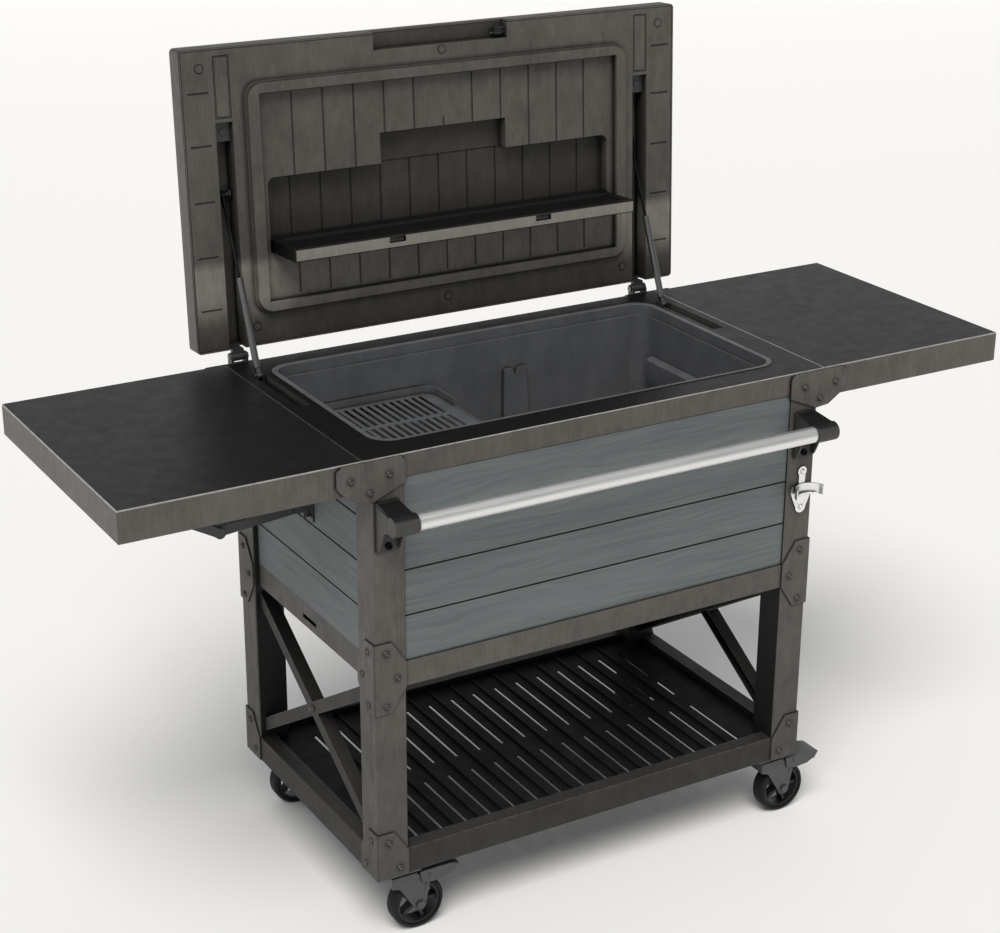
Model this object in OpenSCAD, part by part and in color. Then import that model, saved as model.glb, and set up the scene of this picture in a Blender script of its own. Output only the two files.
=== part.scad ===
// Patio cooler cart with two drop leaves, a gas-strut lid and four swivel casters.
// Millimetres, +Z up, origin on the floor under the middle, front of the cart is -Y.

/* [Main sizes] */
// height of the worktop above the floor, mm
deck_z = 940; // [860:1:1040]
// half of the width over the posts, mm
half_w = 466; // [400:1:560]
// half of the depth over the posts, mm
half_d = 282; // [260:1:340]
// width of a square post, mm
post_w = 61; // [50:1:70]
// length of one drop leaf, mm
leaf_len = 426.5; // [300:1:440]
// depth of the apron of a leaf, mm
leaf_t = 57; // [40:1:70]

/* [Lid] */
// thickness of the lid, mm
lid_t = 44; // [40:1:60]
// how far the lid reaches past the posts on each side, mm
lid_over = 63; // [50:1:75]
// angle between closed and open lid, degrees
lid_angle = 92.68; // [85:0.01:100]
// reach of the fold-out shelf in front of the lid, mm
shelf_reach = 101; // [80:1:101]
// diameter of the gas strut tube, mm
strut_d = 13; // [12:1:18]

/* [Cooler] */
// depth of the tub below the worktop, mm
tub_depth = 400; // [300:1:402]
// wall thickness of the tub liner, mm
tub_wall = 2.5; // [2:0.5:4]
// length of the sliding tray, mm
tray_len = 331; // [200:1:331]

/* [Handle and casters] */
// diameter of the towel handle, mm
handle_d = 30; // [20:1:34]
// height of the towel handle below the worktop, mm
handle_drop = 100; // [98:1:104]
// radius of a caster wheel with its tyre, mm
wheel_r = 52; // [40:1:60]
// offset between kingpin and wheel axle, mm
trail = 35; // [30:1:40]
// diameter of the round bolt heads, mm
bolt_head = 13; // [9:0.5:15]

/* [Hidden] */
$fn = 48;
fit = 0.05;

pin_x = half_w - post_w;
pin_y = half_d - post_w;
base_z = 2 * wheel_r + 27;
base_h = 51;
rail_z = deck_z - 432;
rail_h = 48;
skirt = 43;
sheet = 3;
edge_y = half_d - 2;
joint_x = half_w + 14;
side_x = half_w - 11;
hinge_y = edge_y + 15.6;
under = deck_z + 1.3;
hinge_z = under + 5.9;
lid_x = half_w + lid_over;
lid_front = -(edge_y - 3);
strut_x = half_w - 18;
foot_y = edge_y - 78;
foot_z = deck_z - 3;
head_y = foot_y - 208;
head_z = under + 30;
lid_axis = [0, hinge_y, hinge_z];
head_open_y = hinge_y + (head_y - hinge_y) * cos(lid_angle) + (head_z - hinge_z) * sin(lid_angle);
head_open_z = hinge_z - (head_y - hinge_y) * sin(lid_angle) + (head_z - hinge_z) * cos(lid_angle);
strut_open = norm([head_open_y - foot_y, head_open_z - foot_z]);
strut_tilt = atan2(head_open_z - foot_z, head_open_y - foot_y);
strut_shut = norm([head_y - foot_y, head_z - foot_z]);
tube_len = strut_open - strut_shut + 55.75;
slot_top = under + lid_t - 4;
slot_end = foot_y - 344.5;
shelf_y = edge_y - 185.5;
shelf_z = under + 12.5;
shelf_x = pin_x - 37;
tub_x = pin_x + 8;
tub_front = -(pin_y - 6);
tub_back = pin_y + 1;
tub_floor = deck_z - tub_depth;
drain_x = tub_x - 83;
drain_y = tub_back - 72;
shell_top = deck_z - skirt - 7;
shell_t = 4;
step_z = deck_z - 21;
tray_z = deck_z - 87;
king_x = half_w - 52;
king_y = half_d - 27;
leaf_z = deck_z - leaf_t;
stay_ax = joint_x - 2;
stay_az = deck_z - 178;
stay_ex = joint_x + 152;
stay_ez = deck_z - 192;
stay_bx = joint_x + leaf_len - 38.5;
stay_bz = leaf_z - 3;

module bx(x0, x1, y0, y1, z0, z1) translate([x0, y0, z0]) cube([x1 - x0, y1 - y0, z1 - z0]);
module cx(r, x0, x1, y, z) translate([x0, y, z]) rotate([0, 90, 0]) cylinder(r = r, h = x1 - x0);
module cy(r, y0, y1, x, z) translate([x, y1, z]) rotate([90, 0, 0]) cylinder(r = r, h = y1 - y0);
module cz(r, z0, z1, x, y) translate([x, y, z0]) cylinder(r = r, h = z1 - z0);
module mx() { children(); mirror([1, 0, 0]) children(); }
module my() { children(); mirror([0, 1, 0]) children(); }
module rr(x0, x1, y0, y1, r) {
  translate([x0 + r, y0]) square([x1 - x0 - 2 * r, y1 - y0]);
  translate([x0, y0 + r]) square([x1 - x0, y1 - y0 - 2 * r]);
  for (x = [x0 + r, x1 - r]) for (y = [y0 + r, y1 - r]) translate([x, y]) circle(r = r);
}
module rbox(x0, x1, y0, y1, z0, z1, r) translate([0, 0, z0]) linear_extrude(z1 - z0) rr(x0, x1, y0, y1, r);
// outline in x and z, given thickness in y
module ply(y0, y1) translate([0, y1, 0]) rotate([90, 0, 0]) linear_extrude(y1 - y0) children();
// outline in y and z, given thickness in x
module plx(x0, x1) translate([x0, 0, 0]) rotate([90, 0, 90]) linear_extrude(x1 - x0) children();
// flat link with round ends between two points of the x and z plane, waisted between its ends
module link2(ax, az, ex, ez, r) {
  translate([ax, az]) circle(r = r);
  translate([ex, ez]) circle(r = r);
  translate([ax, az]) rotate(atan2(ez - az, ex - ax)) translate([0, 1.5 - r]) square([norm([ex - ax, ez - az]), 2 * r - 3]);
}
module lid_open() translate(lid_axis) rotate([-lid_angle, 0, 0]) translate(-lid_axis) children();

front_mid = [[half_w - 21, rail_z + 72], [half_w - 21, rail_z - 30], [half_w - 43, rail_z + 21]];
front_low = [[half_w - 21, base_z + 74], [half_w - 42, base_z + 18]];
gusset_pts = [[half_w - 32, deck_z - 30], [half_w + 4, deck_z - 57], [half_w + 39, deck_z - 30]];

module bolt_y(x, z, shank) {
  cy(3, -half_d - 3, -half_d - 3 + shank, x, z);
  translate([x, -half_d - 3, z]) rotate([90, 0, 0]) cylinder(r1 = bolt_head / 2, r2 = bolt_head / 2 - 2.5, h = 4);
}
module bolt_x(y, z, shank) {
  cx(3, half_w + 3 - shank, half_w + 3, y, z);
  translate([half_w + 3, y, z]) rotate([0, 90, 0]) cylinder(r1 = bolt_head / 2, r2 = bolt_head / 2 - 2.5, h = 4);
}
module post_bores() {
  for (p = concat(front_mid, front_low, [gusset_pts[0]])) cy(3 + fit, -half_d - 9, -half_d + 8, p[0], p[1]);
  for (p = concat(front_mid, front_low)) cx(3 + fit, half_w - 8, half_w + 9, -(half_d - (half_w - p[0])), p[1]);
}

module posts() color("#4a4945") difference() {
  mx() my() difference() {
    rbox(pin_x, half_w, -half_d, -pin_y, base_z, deck_z - sheet, 3);
    rbox(pin_x + 2.5, half_w - 2.5, -half_d + 2.5, -pin_y - 2.5, base_z - 1, deck_z, 1);
    post_bores();
  }
  mx() for (z = bracket_screws) cy(3 + fit, -half_d - 9, -half_d + 8, half_w - 28, z);
  for (z = [deck_z - 198, deck_z - 270]) cy(2.5 + fit, -half_d - 9, -half_d + 8, half_w - 26, z);
}

module deck() color("#2a2a2b") difference() {
  union() {
    bx(-joint_x + 0.5, joint_x - 0.5, -edge_y, edge_y, deck_z - sheet, deck_z);
    my() bx(-pin_x, pin_x, -edge_y, -edge_y + sheet, deck_z - skirt, deck_z - sheet);
    mx() bx(joint_x - 3.5, joint_x - 0.5, -edge_y, edge_y, leaf_z, deck_z - sheet);
    mx() my() bx(half_w + 0.3, joint_x - 0.5, -edge_y, -edge_y + sheet, leaf_z, deck_z - sheet);
    mx() bx(strut_x - 13, strut_x + 13, foot_y - 194, foot_y + 14, deck_z - 16, deck_z - sheet);
  }
  rbox(-tub_x - tub_wall - 0.3, tub_x + tub_wall + 0.3, tub_front - tub_wall - 0.3,
    tub_back + tub_wall + 0.3, deck_z - 9, deck_z + 1, 40);
  mx() bx(strut_x - 11, strut_x + 11, foot_y - 192, foot_y + 12, deck_z - 14, deck_z + 1);
  mx() my() bx(joint_x - 4, joint_x, 148, 192, leaf_z - 1, leaf_z + 8);
}

module planks(w, t, n) difference() {
  bx(-w, w, 0, t, rail_z + rail_h, deck_z - skirt);
  for (i = [1:n - 1]) bx(-w - 1, w + 1, -1, 2.5, rail_z + rail_h + i * (deck_z - skirt - rail_z - rail_h) / n - 1.5,
    rail_z + rail_h + i * (deck_z - skirt - rail_z - rail_h) / n + 1.5);
}
module panel_front() color("#5a6062") translate([0, -half_d + 3, 0]) planks(pin_x, 12, 4);
module panel_rear() color("#5a6062") rotate([0, 0, 180]) translate([0, -half_d + 3, 0]) planks(pin_x, 12, 4);
module panel_sides() color("#55585a") mx() difference() {
  translate([side_x, 0, 0]) rotate([0, 0, 90]) planks(pin_y, 12, 4);
  for (z = [stay_az - 18, stay_az + 18]) for (y = [-28, 28]) cx(2.5 + fit, side_x - 13, side_x + 1, y, z);
}

module tube_x(x, y0, y1, z0, z1) difference() {
  bx(-x, x, y0, y1, z0, z1);
  bx(-x - 1, x + 1, y0 + 2, y1 - 2, z0 + 2, z1 - 2);
}
module tube_y(y, x0, x1, z0, z1) difference() {
  bx(x0, x1, -y, y, z0, z1);
  bx(x0 + 2, x1 - 2, -y - 1, y + 1, z0 + 2, z1 - 2);
}
module lower_rails() color("#4a4945") {
  my() tube_x(pin_x, -half_d, -half_d + 20, rail_z, rail_z + rail_h);
  mx() difference() {
    tube_y(pin_y, side_x - 20, side_x, rail_z, rail_z + rail_h);
    bx(side_x - 5, side_x + 1, -28, 28, rail_z + 15, rail_z + 23);
  }
}
module base_rails() color("#4a4945") {
  my() tube_x(pin_x, -half_d, -half_d + 30, base_z, base_z + base_h);
  mx() tube_y(pin_y, half_w - 30, half_w, base_z, base_z + base_h);
}

rack_x = half_w - 30;
rack_y = half_d - 30;
rack_z = base_z + 37;
rack_n = floor((pin_x - 12) / 51.5);
module base_rack() color("#1d1d1e") difference() {
  union() {
    difference() {
      bx(-rack_x, rack_x, -rack_y, rack_y, rack_z - 22, rack_z);
      bx(-rack_x + 2.5, rack_x - 2.5, -rack_y + 2.5, rack_y - 2.5, rack_z - 23, rack_z - 3);
    }
    mx() my() bx(pin_x - 2.5, rack_x, -rack_y, -pin_y + 2.5, rack_z - 22, rack_z);
    for (i = [-rack_n:rack_n - 1]) bx((i + 0.5) * 51.5 - 3, (i + 0.5) * 51.5 + 3, -rack_y + 6, rack_y - 6,
      rack_z - 0.5, rack_z + 4);
    my() bx(-pin_x + 8, pin_x - 8, -rack_y, -rack_y + 2.5, rack_z - 0.5, rack_z + 7);
  }
  mx() my() bx(pin_x, rack_x + 1, -rack_y - 1, -pin_y, rack_z - 30, rack_z + 10);
  for (i = [-rack_n:rack_n]) {
    bx(i * 51.5 - 3, i * 51.5 + 3, -rack_y + 12, -rack_y + 183, rack_z - 5, rack_z + 1);
    bx(i * 51.5 - 3, i * 51.5 + 3, -rack_y + 237, rack_y - 56, rack_z - 5, rack_z + 1);
  }
}

brace_lo = base_z + base_h;
brace_mid = (brace_lo + rail_z) / 2;
brace_a = 31.8;
module cross(w, x0, x1, out) intersection() {
  for (dir = [1, -1]) translate([0, 0, brace_mid]) rotate([dir * brace_a, 0, 0]) bx(x0, x1, -400, 400, -w, w);
  bx(x0 - 1, x1 + 1, -pin_y - out, pin_y + out, brace_lo, rail_z);
}
// welded cross of pressed channels, open to the inside
module brace_bars() color("#3a3a3a") mx() difference() {
  cross(12, side_x - 26, side_x, 0);
  cross(9.5, side_x - 27, side_x - 3, 1);
  cx(3 + fit, side_x - 11, side_x + 1, 0, brace_mid);
}

module gusset() difference() {
  ply(-half_d - 3, -half_d) polygon([[pin_x - 3, deck_z - 49], [pin_x - 3, deck_z - 11],
    [pin_x + 7, deck_z], [half_w + 52, deck_z], [half_w + 65, deck_z - 10], [half_w + 65, deck_z - 39],
    [half_w + 51, deck_z - 55], [half_w + 25, deck_z - 72], [half_w - 4, deck_z - 75]]);
  for (p = gusset_pts) cy(3 + fit, -half_d - 9, -half_d + 8, p[0], p[1]);
}
module gussets() color("#55544f") mx() my() gusset();

// angle plate on the two outer faces of a post, chamfered on both inner corners
module angle_plate(z0, z1, ch0, ch1) difference() {
  union() {
    ply(-half_d - 3, -half_d) polygon([[half_w + 3, z0], [pin_x + ch0 * 0.65, z0], [pin_x, z0 + ch0],
      [pin_x, z1 - ch1], [pin_x + ch1 * 0.65, z1], [half_w + 3, z1]]);
    plx(half_w, half_w + 3) polygon([[-half_d - 3, z0], [-pin_y - ch0 * 0.65, z0], [-pin_y, z0 + ch0],
      [-pin_y, z1 - ch1], [-pin_y - ch1 * 0.65, z1], [-half_d - 3, z1]]);
  }
  cz(1.6, z0 - 1, z1 + 1, half_w + 3, -half_d - 3);
  post_bores();
}
module mid_plates() color("#55544f") mx() my() angle_plate(rail_z - 44, rail_z + 92, 45, 45);
module low_plates() color("#55544f") mx() my() angle_plate(base_z, base_z + 94, 0.01, 45);

module plate_bolts() color("#6a6965") {
  mx() my() {
    for (p = front_mid) bolt_y(p[0], p[1], 9);
    for (p = front_low) bolt_y(p[0], p[1], 9);
    bolt_y(gusset_pts[0][0], gusset_pts[0][1], 9);
    bolt_y(gusset_pts[1][0], gusset_pts[1][1], 3);
    bolt_y(gusset_pts[2][0], gusset_pts[2][1], 3);
    for (p = front_mid) bolt_x(-(half_d - (half_w - p[0])), p[1], 9);
    for (p = front_low) bolt_x(-(half_d - (half_w - p[0])), p[1], 9);
  }
  mx() {
    cx(3, side_x - 9, side_x, 0, brace_mid);
    translate([side_x, 0, brace_mid]) rotate([0, 90, 0]) cylinder(r1 = 8, r2 = 5, h = 5);
    cx(6, side_x - 7, side_x - 3.01, 0, brace_mid);
  }
}

bar_y = -half_d - 60;
bar_z = deck_z - handle_drop;
bracket_screws = [deck_z - 130, deck_z - 158];
module handle_bar() color("#cfcfcf") difference() {
  cx(handle_d / 2, -(half_w - 26), half_w - 26, bar_y, bar_z);
  cx(handle_d / 2 - 2, -half_w, half_w, bar_y, bar_z);
}
// flange, two cheeks, a top plate and the socket of the bar, open from below
module handle_brackets() color("#222223") mx() difference() {
  union() {
    bx(half_w - 50, half_w - 6, -half_d - 5, -half_d, deck_z - 168, deck_z - 78);
    for (x = [half_w - 50, half_w - 10]) plx(x, x + 4) polygon([[-half_d - 1, deck_z - 166],
      [-half_d - 9, deck_z - 164], [-half_d - 13, deck_z - 158], [-half_d - 30, deck_z - 122],
      [bar_y, bar_z - 14], [bar_y, bar_z + 14], [-half_d - 1, deck_z - 82]]);
    plx(half_w - 49, half_w - 7) polygon([[-half_d - 1, deck_z - 78], [-half_d - 4, deck_z - 78],
      [bar_y, bar_z + 16], [bar_y, bar_z + 9], [-half_d - 1, deck_z - 86]]);
    cx(handle_d / 2 + 2.5, half_w - 52, half_w - 5, bar_y, bar_z);
  }
  cx(handle_d / 2 + fit, pin_x - 5, half_w - 26, bar_y, bar_z);
  for (z = bracket_screws) cy(3 + fit, -half_d - 9, -half_d + 1, half_w - 28, z);
}
module front_screws() color("#9a9a98") {
  mx() for (z = bracket_screws) {
    cy(3, -half_d - 5, -half_d + 6, half_w - 28, z);
    difference() {
      cy(6, -half_d - 9, -half_d - 5, half_w - 28, z);
      translate([half_w - 28, -half_d - 7, z]) rotate([90, 0, 0]) cylinder(r = 2.9, h = 4, $fn = 6);
    }
  }
  for (z = [deck_z - 198, deck_z - 270]) {
    cy(2.5, -half_d - 2.5, -half_d + 6, half_w - 26, z);
    translate([half_w - 26, -half_d - 2.5, z]) rotate([90, 0, 0]) cylinder(r1 = 5, r2 = 3, h = 3);
  }
}
open_x = half_w - 26;
open_z = deck_z - 234;
module bottle_opener() color("#c9c9c7") translate([open_x, 0, open_z]) difference() {
  union() {
    ply(-half_d - 2.5, -half_d) {
      translate([0, 36]) circle(r = 10);
      translate([-7.5, 0]) square([15, 36]);
      polygon([[-22, 8], [22, 8], [25, -4], [19, -20], [9, -43], [-9, -43], [-19, -20], [-25, -4]]);
      translate([0, -36]) circle(r = 12);
    }
    translate([0, -half_d - 33.8, -8]) linear_extrude(20) difference() {
      circle(r = 32);
      circle(r = 29.5);
      translate([-40, -40]) square([80, 44]);
    }
    translate([0, -half_d - 33.8, -8]) linear_extrude(2.5) difference() {
      circle(r = 31);
      circle(r = 24);
      translate([-40, -40]) square([80, 56]);
    }
  }
  for (z = [36, -36]) cy(2.5 + fit, -half_d - 9, -half_d + 1, 0, z);
}
// the moulding steps in by 3 under its rim band
module tub_liner() color("#484a4d") difference() {
  union() {
    rbox(-tub_x - tub_wall, tub_x + tub_wall, tub_front - tub_wall, tub_back + tub_wall,
      step_z - tub_wall, deck_z, 40);
    rbox(-tub_x + 3 - tub_wall, tub_x - 3 + tub_wall, tub_front + 3 - tub_wall, tub_back - 3 + tub_wall,
      tub_floor - tub_wall, step_z, 32);
    rbox(-tub_x - 11, tub_x + 11, tub_front - 8, tub_back + 11, deck_z, deck_z + 0.9, 44);
  }
  rbox(-tub_x, tub_x, tub_front, tub_back, step_z, deck_z + 2, 38);
  rbox(-tub_x + 3, tub_x - 3, tub_front + 3, tub_back - 3, tub_floor, step_z + 1, 30);
  cz(14 + fit, tub_floor - 10, tub_floor + 1, drain_x, drain_y);
}
// two tray rails, divider post and wall block, bonded to the liner
module tub_rests() color("#484a4d") {
  rest_z = tray_z - 18;
  bx(-tub_x + 38, -82, tub_front + 3, tub_front + 12, rest_z - 12, rest_z);
  bx(-tub_x + 38, -82, tub_back - 12, tub_back - 3, rest_z - 12, rest_z);
  ply(tub_back - 11, tub_back - 3) polygon([[81, tub_floor], [81, deck_z - 84], [98, deck_z - 84],
    [106, deck_z - 98], [114, deck_z - 84], [131, deck_z - 84], [152, tub_floor]]);
  translate([0, 182, 0]) rotate([90, 0, 0]) linear_extrude(178) polygon([[tub_x - 3, deck_z - 100],
    [tub_x - 15, deck_z - 108], [tub_x - 15, deck_z - 150], [tub_x - 3, deck_z - 175]]);
}
module shell_block(in, z0, z1) {
  bx(-pin_x + 3 + in, pin_x - 3 - in, -half_d + 20 + in, half_d - 20 - in, z0, z1);
  bx(-side_x + 25 + in, side_x - 25 - in, -pin_y + 3 + in, pin_y - 3 - in, z0, z1);
}
module tub_shell() color("#1b1b1c") difference() {
  shell_block(0, rail_z - 8, shell_top);
  shell_block(shell_t, rail_z - 8 + shell_t, shell_top - shell_t);
  rbox(-tub_x - tub_wall - 0.3, tub_x + tub_wall + 0.3, tub_front - tub_wall - 0.3,
    tub_back + tub_wall + 0.3, tub_floor - tub_wall, deck_z, 40);
  cz(14 + fit, rail_z - 20, tub_floor + 1, drain_x, drain_y);
}
module drain_plug() color("#2b2b2c") translate([drain_x, drain_y, 0]) difference() {
  union() {
    cz(20, tub_floor, tub_floor + 2, 0, 0);
    cz(14, rail_z - 8, tub_floor, 0, 0);
    cz(13, rail_z - 34, rail_z - 8, 0, 0);
    translate([0, 0, rail_z - 14]) cylinder(r = 20, h = 6, $fn = 6);
  }
  cz(9, rail_z - 35, tub_floor + 3, 0, 0);
}

ear_a = strut_x - 17;
module lid_hinge_brackets() color("#3d3e40") mx() difference() {
  union() {
    bx(ear_a, ear_a + 34, half_d + 3, half_d + 6, deck_z - 22, deck_z);
    for (x = [ear_a, ear_a + 29]) {
      bx(x, x + 5, half_d + 3, half_d + 21, deck_z - 22, deck_z + 7.2);
      cx(9, x, x + 5, hinge_y, hinge_z);
    }
  }
  cx(4 + fit / 2, ear_a - 1, ear_a + 36, hinge_y, hinge_z);
}
module hinge_pins() color("#8c8c8a") {
  mx() {
    cx(4, ear_a - 1, ear_a + 35, hinge_y, hinge_z);
    cx(6, ear_a - 3, ear_a - 0.01, hinge_y, hinge_z);
  }
  mx() my() cy(4, 149, 191.5, joint_x, leaf_z);
}
module lid_arms() color("#3d3e40") lid_open() mx() difference() {
  union() {
    bx(strut_x - 11.5, strut_x + 11.5, edge_y, edge_y + 4, under + 2, under + 38);
    bx(strut_x - 11.5, strut_x + 11.5, edge_y + 3, hinge_y, under + 1, under + 12);
    cx(8, strut_x - 11.5, strut_x + 11.5, hinge_y, hinge_z);
  }
  cx(4 + fit, strut_x - 20, strut_x + 20, hinge_y, hinge_z);
}

module lid_shell() color("#4a4945") lid_open() difference() {
  union() {
    rbox(-lid_x, lid_x, lid_front, edge_y, under, under + lid_t - 4, 8);
    rbox(-lid_x + 1.5, lid_x - 1.5, lid_front + 1.5, edge_y - 1.5, under + lid_t - 5, under + lid_t - 1.5, 7);
    rbox(-lid_x + 4, lid_x - 4, lid_front + 4, edge_y - 4, under + lid_t - 2, under + lid_t, 5);
  }
  rbox(-lid_x + 4, lid_x - 4, lid_front + 4, edge_y - 4, under - 1, under + lid_t - 4, 4);
  mx() bx(strut_x - 16, strut_x + 17, edge_y - 6, edge_y + 1, under - 1, under + 22);
  bx(-143, 143, lid_front - 1, lid_front + 6, under - 1, under + 20);
}
module ring2(o, i) difference() {
  rr(-tub_x + 4 + o, tub_x - 4 - o, tub_front + 4 + o, tub_back - 4 - o, 30);
  rr(-tub_x + 26 - i, tub_x - 26 + i, tub_front + 22 - i, tub_back - 22 + i, 3);
}
groove_n = 5;
module lid_liner() color("#484a4d") lid_open() difference() {
  union() {
    rbox(-lid_x + 4.3, lid_x - 4.3, lid_front + 4.3, edge_y - 4.3, under, under + lid_t - 4, 3.7);
    translate([0, 0, under - 7]) linear_extrude(7.5) ring2(0, 0);
    translate([0, 0, under - 15]) linear_extrude(8.01) ring2(3, -3);
    cx(2.5, 112, 144, lid_front + 24, under + 11);
  }
  mx() bx(strut_x - 16, strut_x + 17, slot_end, edge_y + 1, under - 1, slot_top);
  bx(-shelf_x - 2, shelf_x + 2, edge_y - 292, edge_y - 172, under - 1, under + 27);
  rbox(-shelf_x - 2, shelf_x + 2, edge_y - 312, edge_y - 252, under - 1, under + 27, 14);
  cx(4 + fit / 2, -shelf_x - 9, shelf_x + 9, shelf_y, shelf_z);
  difference() {
    bx(-143, 143, lid_front - 1, lid_front + 34, under - 1, under + 20);
    cx(2.5, 112, 144, lid_front + 24, under + 11);
  }
  // hollows behind the moulded face
  mx() bx(149, strut_x - 22, lid_front + 9, edge_y - 318, under + 6, under + lid_t);
  bx(-143, 143, lid_front + 40, edge_y - 376, under + 6, under + lid_t);
  bx(-strut_x + 22, strut_x - 22, edge_y - 166, edge_y - 10, under + 6, under + lid_t);
  mx() bx(strut_x + 23, lid_x - 10, lid_front + 9, edge_y - 10, under + 6, under + lid_t);
  mx() bx(shelf_x + 10, strut_x - 22, edge_y - 318.5, edge_y - 165.5, under + 6, under + lid_t);
  mx() bx(strut_x - 16, strut_x + 17, lid_front + 9, slot_end - 6, under + 6, under + lid_t);
  // grooves of the inner face
  for (i = [-groove_n:groove_n]) {
    bx(i * 63 - 1.5, i * 63 + 1.5, edge_y - (abs(i) < 1 ? 386 : 466), edge_y - 312, under - 1, under + 2);
    bx(i * 63 - 1.5, i * 63 + 1.5, edge_y - 172, edge_y - 90, under - 1, under + 2);
    bx(i * 63 - 1.5, i * 63 + 1.5, edge_y - 312, edge_y - 172, under + 26, under + 29);
  }
  bx(-136, 136, edge_y - 370, edge_y - 311, under - 1, under + 25);
  mx() for (s = [80, 179, 281, 383, 478]) bx(half_w + 10, half_w + 49, edge_y - s - 1.5, edge_y - s + 1.5, under - 1, under + 2);
  mx() difference() {
    bx(strut_x - 15, strut_x + 16, lid_front + 15, slot_end - 7, under - 1, under + 1.5);
    bx(strut_x - 12, strut_x + 13, lid_front + 18, slot_end - 10, under - 2, under + 3);
  }
  for (p = plug_pts) cz(5 + fit, under - 1, under + 6.5, p[0], p[1]);
}
plug_pts = [[-(half_w + 25), lid_front + 35], [half_w + 25, lid_front + 35], [0, lid_front + 43],
  [-(half_w - 59), edge_y - 37], [half_w - 59, edge_y - 37], [0, edge_y - 36]];
module lid_plugs() color("#2c2c2e") lid_open() for (p = plug_pts) {
  cz(8, under - 1, under, p[0], p[1]);
  cz(5, under - 0.01, under + 5, p[0], p[1]);
}
module lid_latch() color("#1d1d1e") lid_open() difference() {
  union() {
    cx(6, 118, 136, lid_front + 24, under + 11);
    bx(118, 136, lid_front + 12, lid_front + 24, under + 5, under + 9);
    bx(118, 136, lid_front + 12, lid_front + 15, under + 1, under + 9);
  }
  cx(2.5 + fit, 110, 150, lid_front + 24, under + 11);
}
module strut_heads() color("#2c2c2e") lid_open() mx() {
  bx(strut_x - 14, strut_x + 5, head_y - 14, head_y + 14, slot_top - 2, slot_top);
  difference() {
    plx(strut_x - 14, strut_x - 11) {
      translate([head_y, head_z]) circle(r = 8);
      translate([head_y - 8, head_z]) square([16, slot_top - 1 - head_z]);
    }
  }
  cx(4, strut_x - 12, strut_x - 4.3, head_y, head_z);
  // spare anchor plate across the front end of the slot
  bx(strut_x - 16, strut_x + 17, slot_end, slot_end + 36, under + 12, under + 14);
  cz(6.5, under + 10.5, under + 12.01, strut_x, slot_end + 18);
}
module shelf_pins() color("#8c8c8a") lid_open() mx() cx(4, shelf_x - 11, shelf_x + 8, shelf_y, shelf_z);
module lid_shelf() color("#46484b") lid_open() difference() {
  union() {
    cx(12.5, -shelf_x, shelf_x, shelf_y, shelf_z);
    bx(-shelf_x, shelf_x, shelf_y - 12.5, shelf_y + 12.5, under - shelf_reach + 3, shelf_z);
    bx(-shelf_x + 1.5, shelf_x - 1.5, shelf_y - 10.5, shelf_y + 10.5, under - shelf_reach, under - shelf_reach + 4);
  }
  mx() cx(4 + fit, shelf_x - 13, shelf_x + 1, shelf_y, shelf_z);
  // shallow well of the shelf top with its two rear ribs
  bx(-shelf_x + 18, shelf_x - 18, shelf_y - 14, shelf_y - 9.5, under - shelf_reach + 12, under - 22);
  bx(-shelf_x + 18, shelf_x - 18, shelf_y - 14, shelf_y - 11, under - 19, under - 16);
  bx(-shelf_x + 18, shelf_x - 18, shelf_y - 14, shelf_y - 11, under - 13, under - 10);
  // hollow underside
  bx(-shelf_x + 14, shelf_x - 14, shelf_y - 5, shelf_y + 14, under - shelf_reach + 8, under - 8);
  mx() bx(half_w * 0.305, half_w * 0.305 + 33, shelf_y - 9, shelf_y + 1, under - shelf_reach - 1, under - shelf_reach + 9);
}

module strut_pose() translate([0, foot_y, foot_z]) rotate([strut_tilt, 0, 0]) children();
module strut_feet() color("#2c2c2e") mx() {
  bx(strut_x - 9, strut_x + 9, foot_y - 10, foot_y + 10, deck_z - 14, deck_z - 12);
  for (x = [strut_x - 8, strut_x + 5.3]) bx(x, x + 2.7, foot_y - 9, foot_y + 9, deck_z - 13, deck_z + 2);
  cx(4, strut_x - 9.5, strut_x + 9.5, foot_y, foot_z);
}
// along +Y from the foot pivot, turned to the open pose by strut_pose
module strut_tube() color("#303133") strut_pose() difference() {
  union() {
    cx(7, strut_x - 5, strut_x + 5, 0, 0);
    bx(strut_x - 4, strut_x + 4, 0, 18, -4, 4);
    cy(strut_d / 2, 15, tube_len, strut_x, 0);
  }
  cx(4 + fit, strut_x - 12, strut_x + 12, 0, 0);
  cy(strut_d / 2 - 1.4, 22, tube_len - 10, strut_x, 0);
  cy(3 + fit, tube_len - 11, tube_len + 1, strut_x, 0);
}
module strut_rod() color("#b9b9b7") strut_pose() {
  cy(3, tube_len - 26.4, strut_open - 9, strut_x, 0);
  cy(strut_d / 2 - 1.5, tube_len - 26.4, tube_len - 17.4, strut_x, 0);
  cx(7, strut_x - 4, strut_x + 4, strut_open, 0);
  cy(4.5, strut_open - 24, strut_open - 5, strut_x, 0);
}
module strut_tube_r() strut_tube();
module strut_tube_l() mirror([1, 0, 0]) strut_tube();
module strut_rod_r() strut_rod();
module strut_rod_l() mirror([1, 0, 0]) strut_rod();

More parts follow.
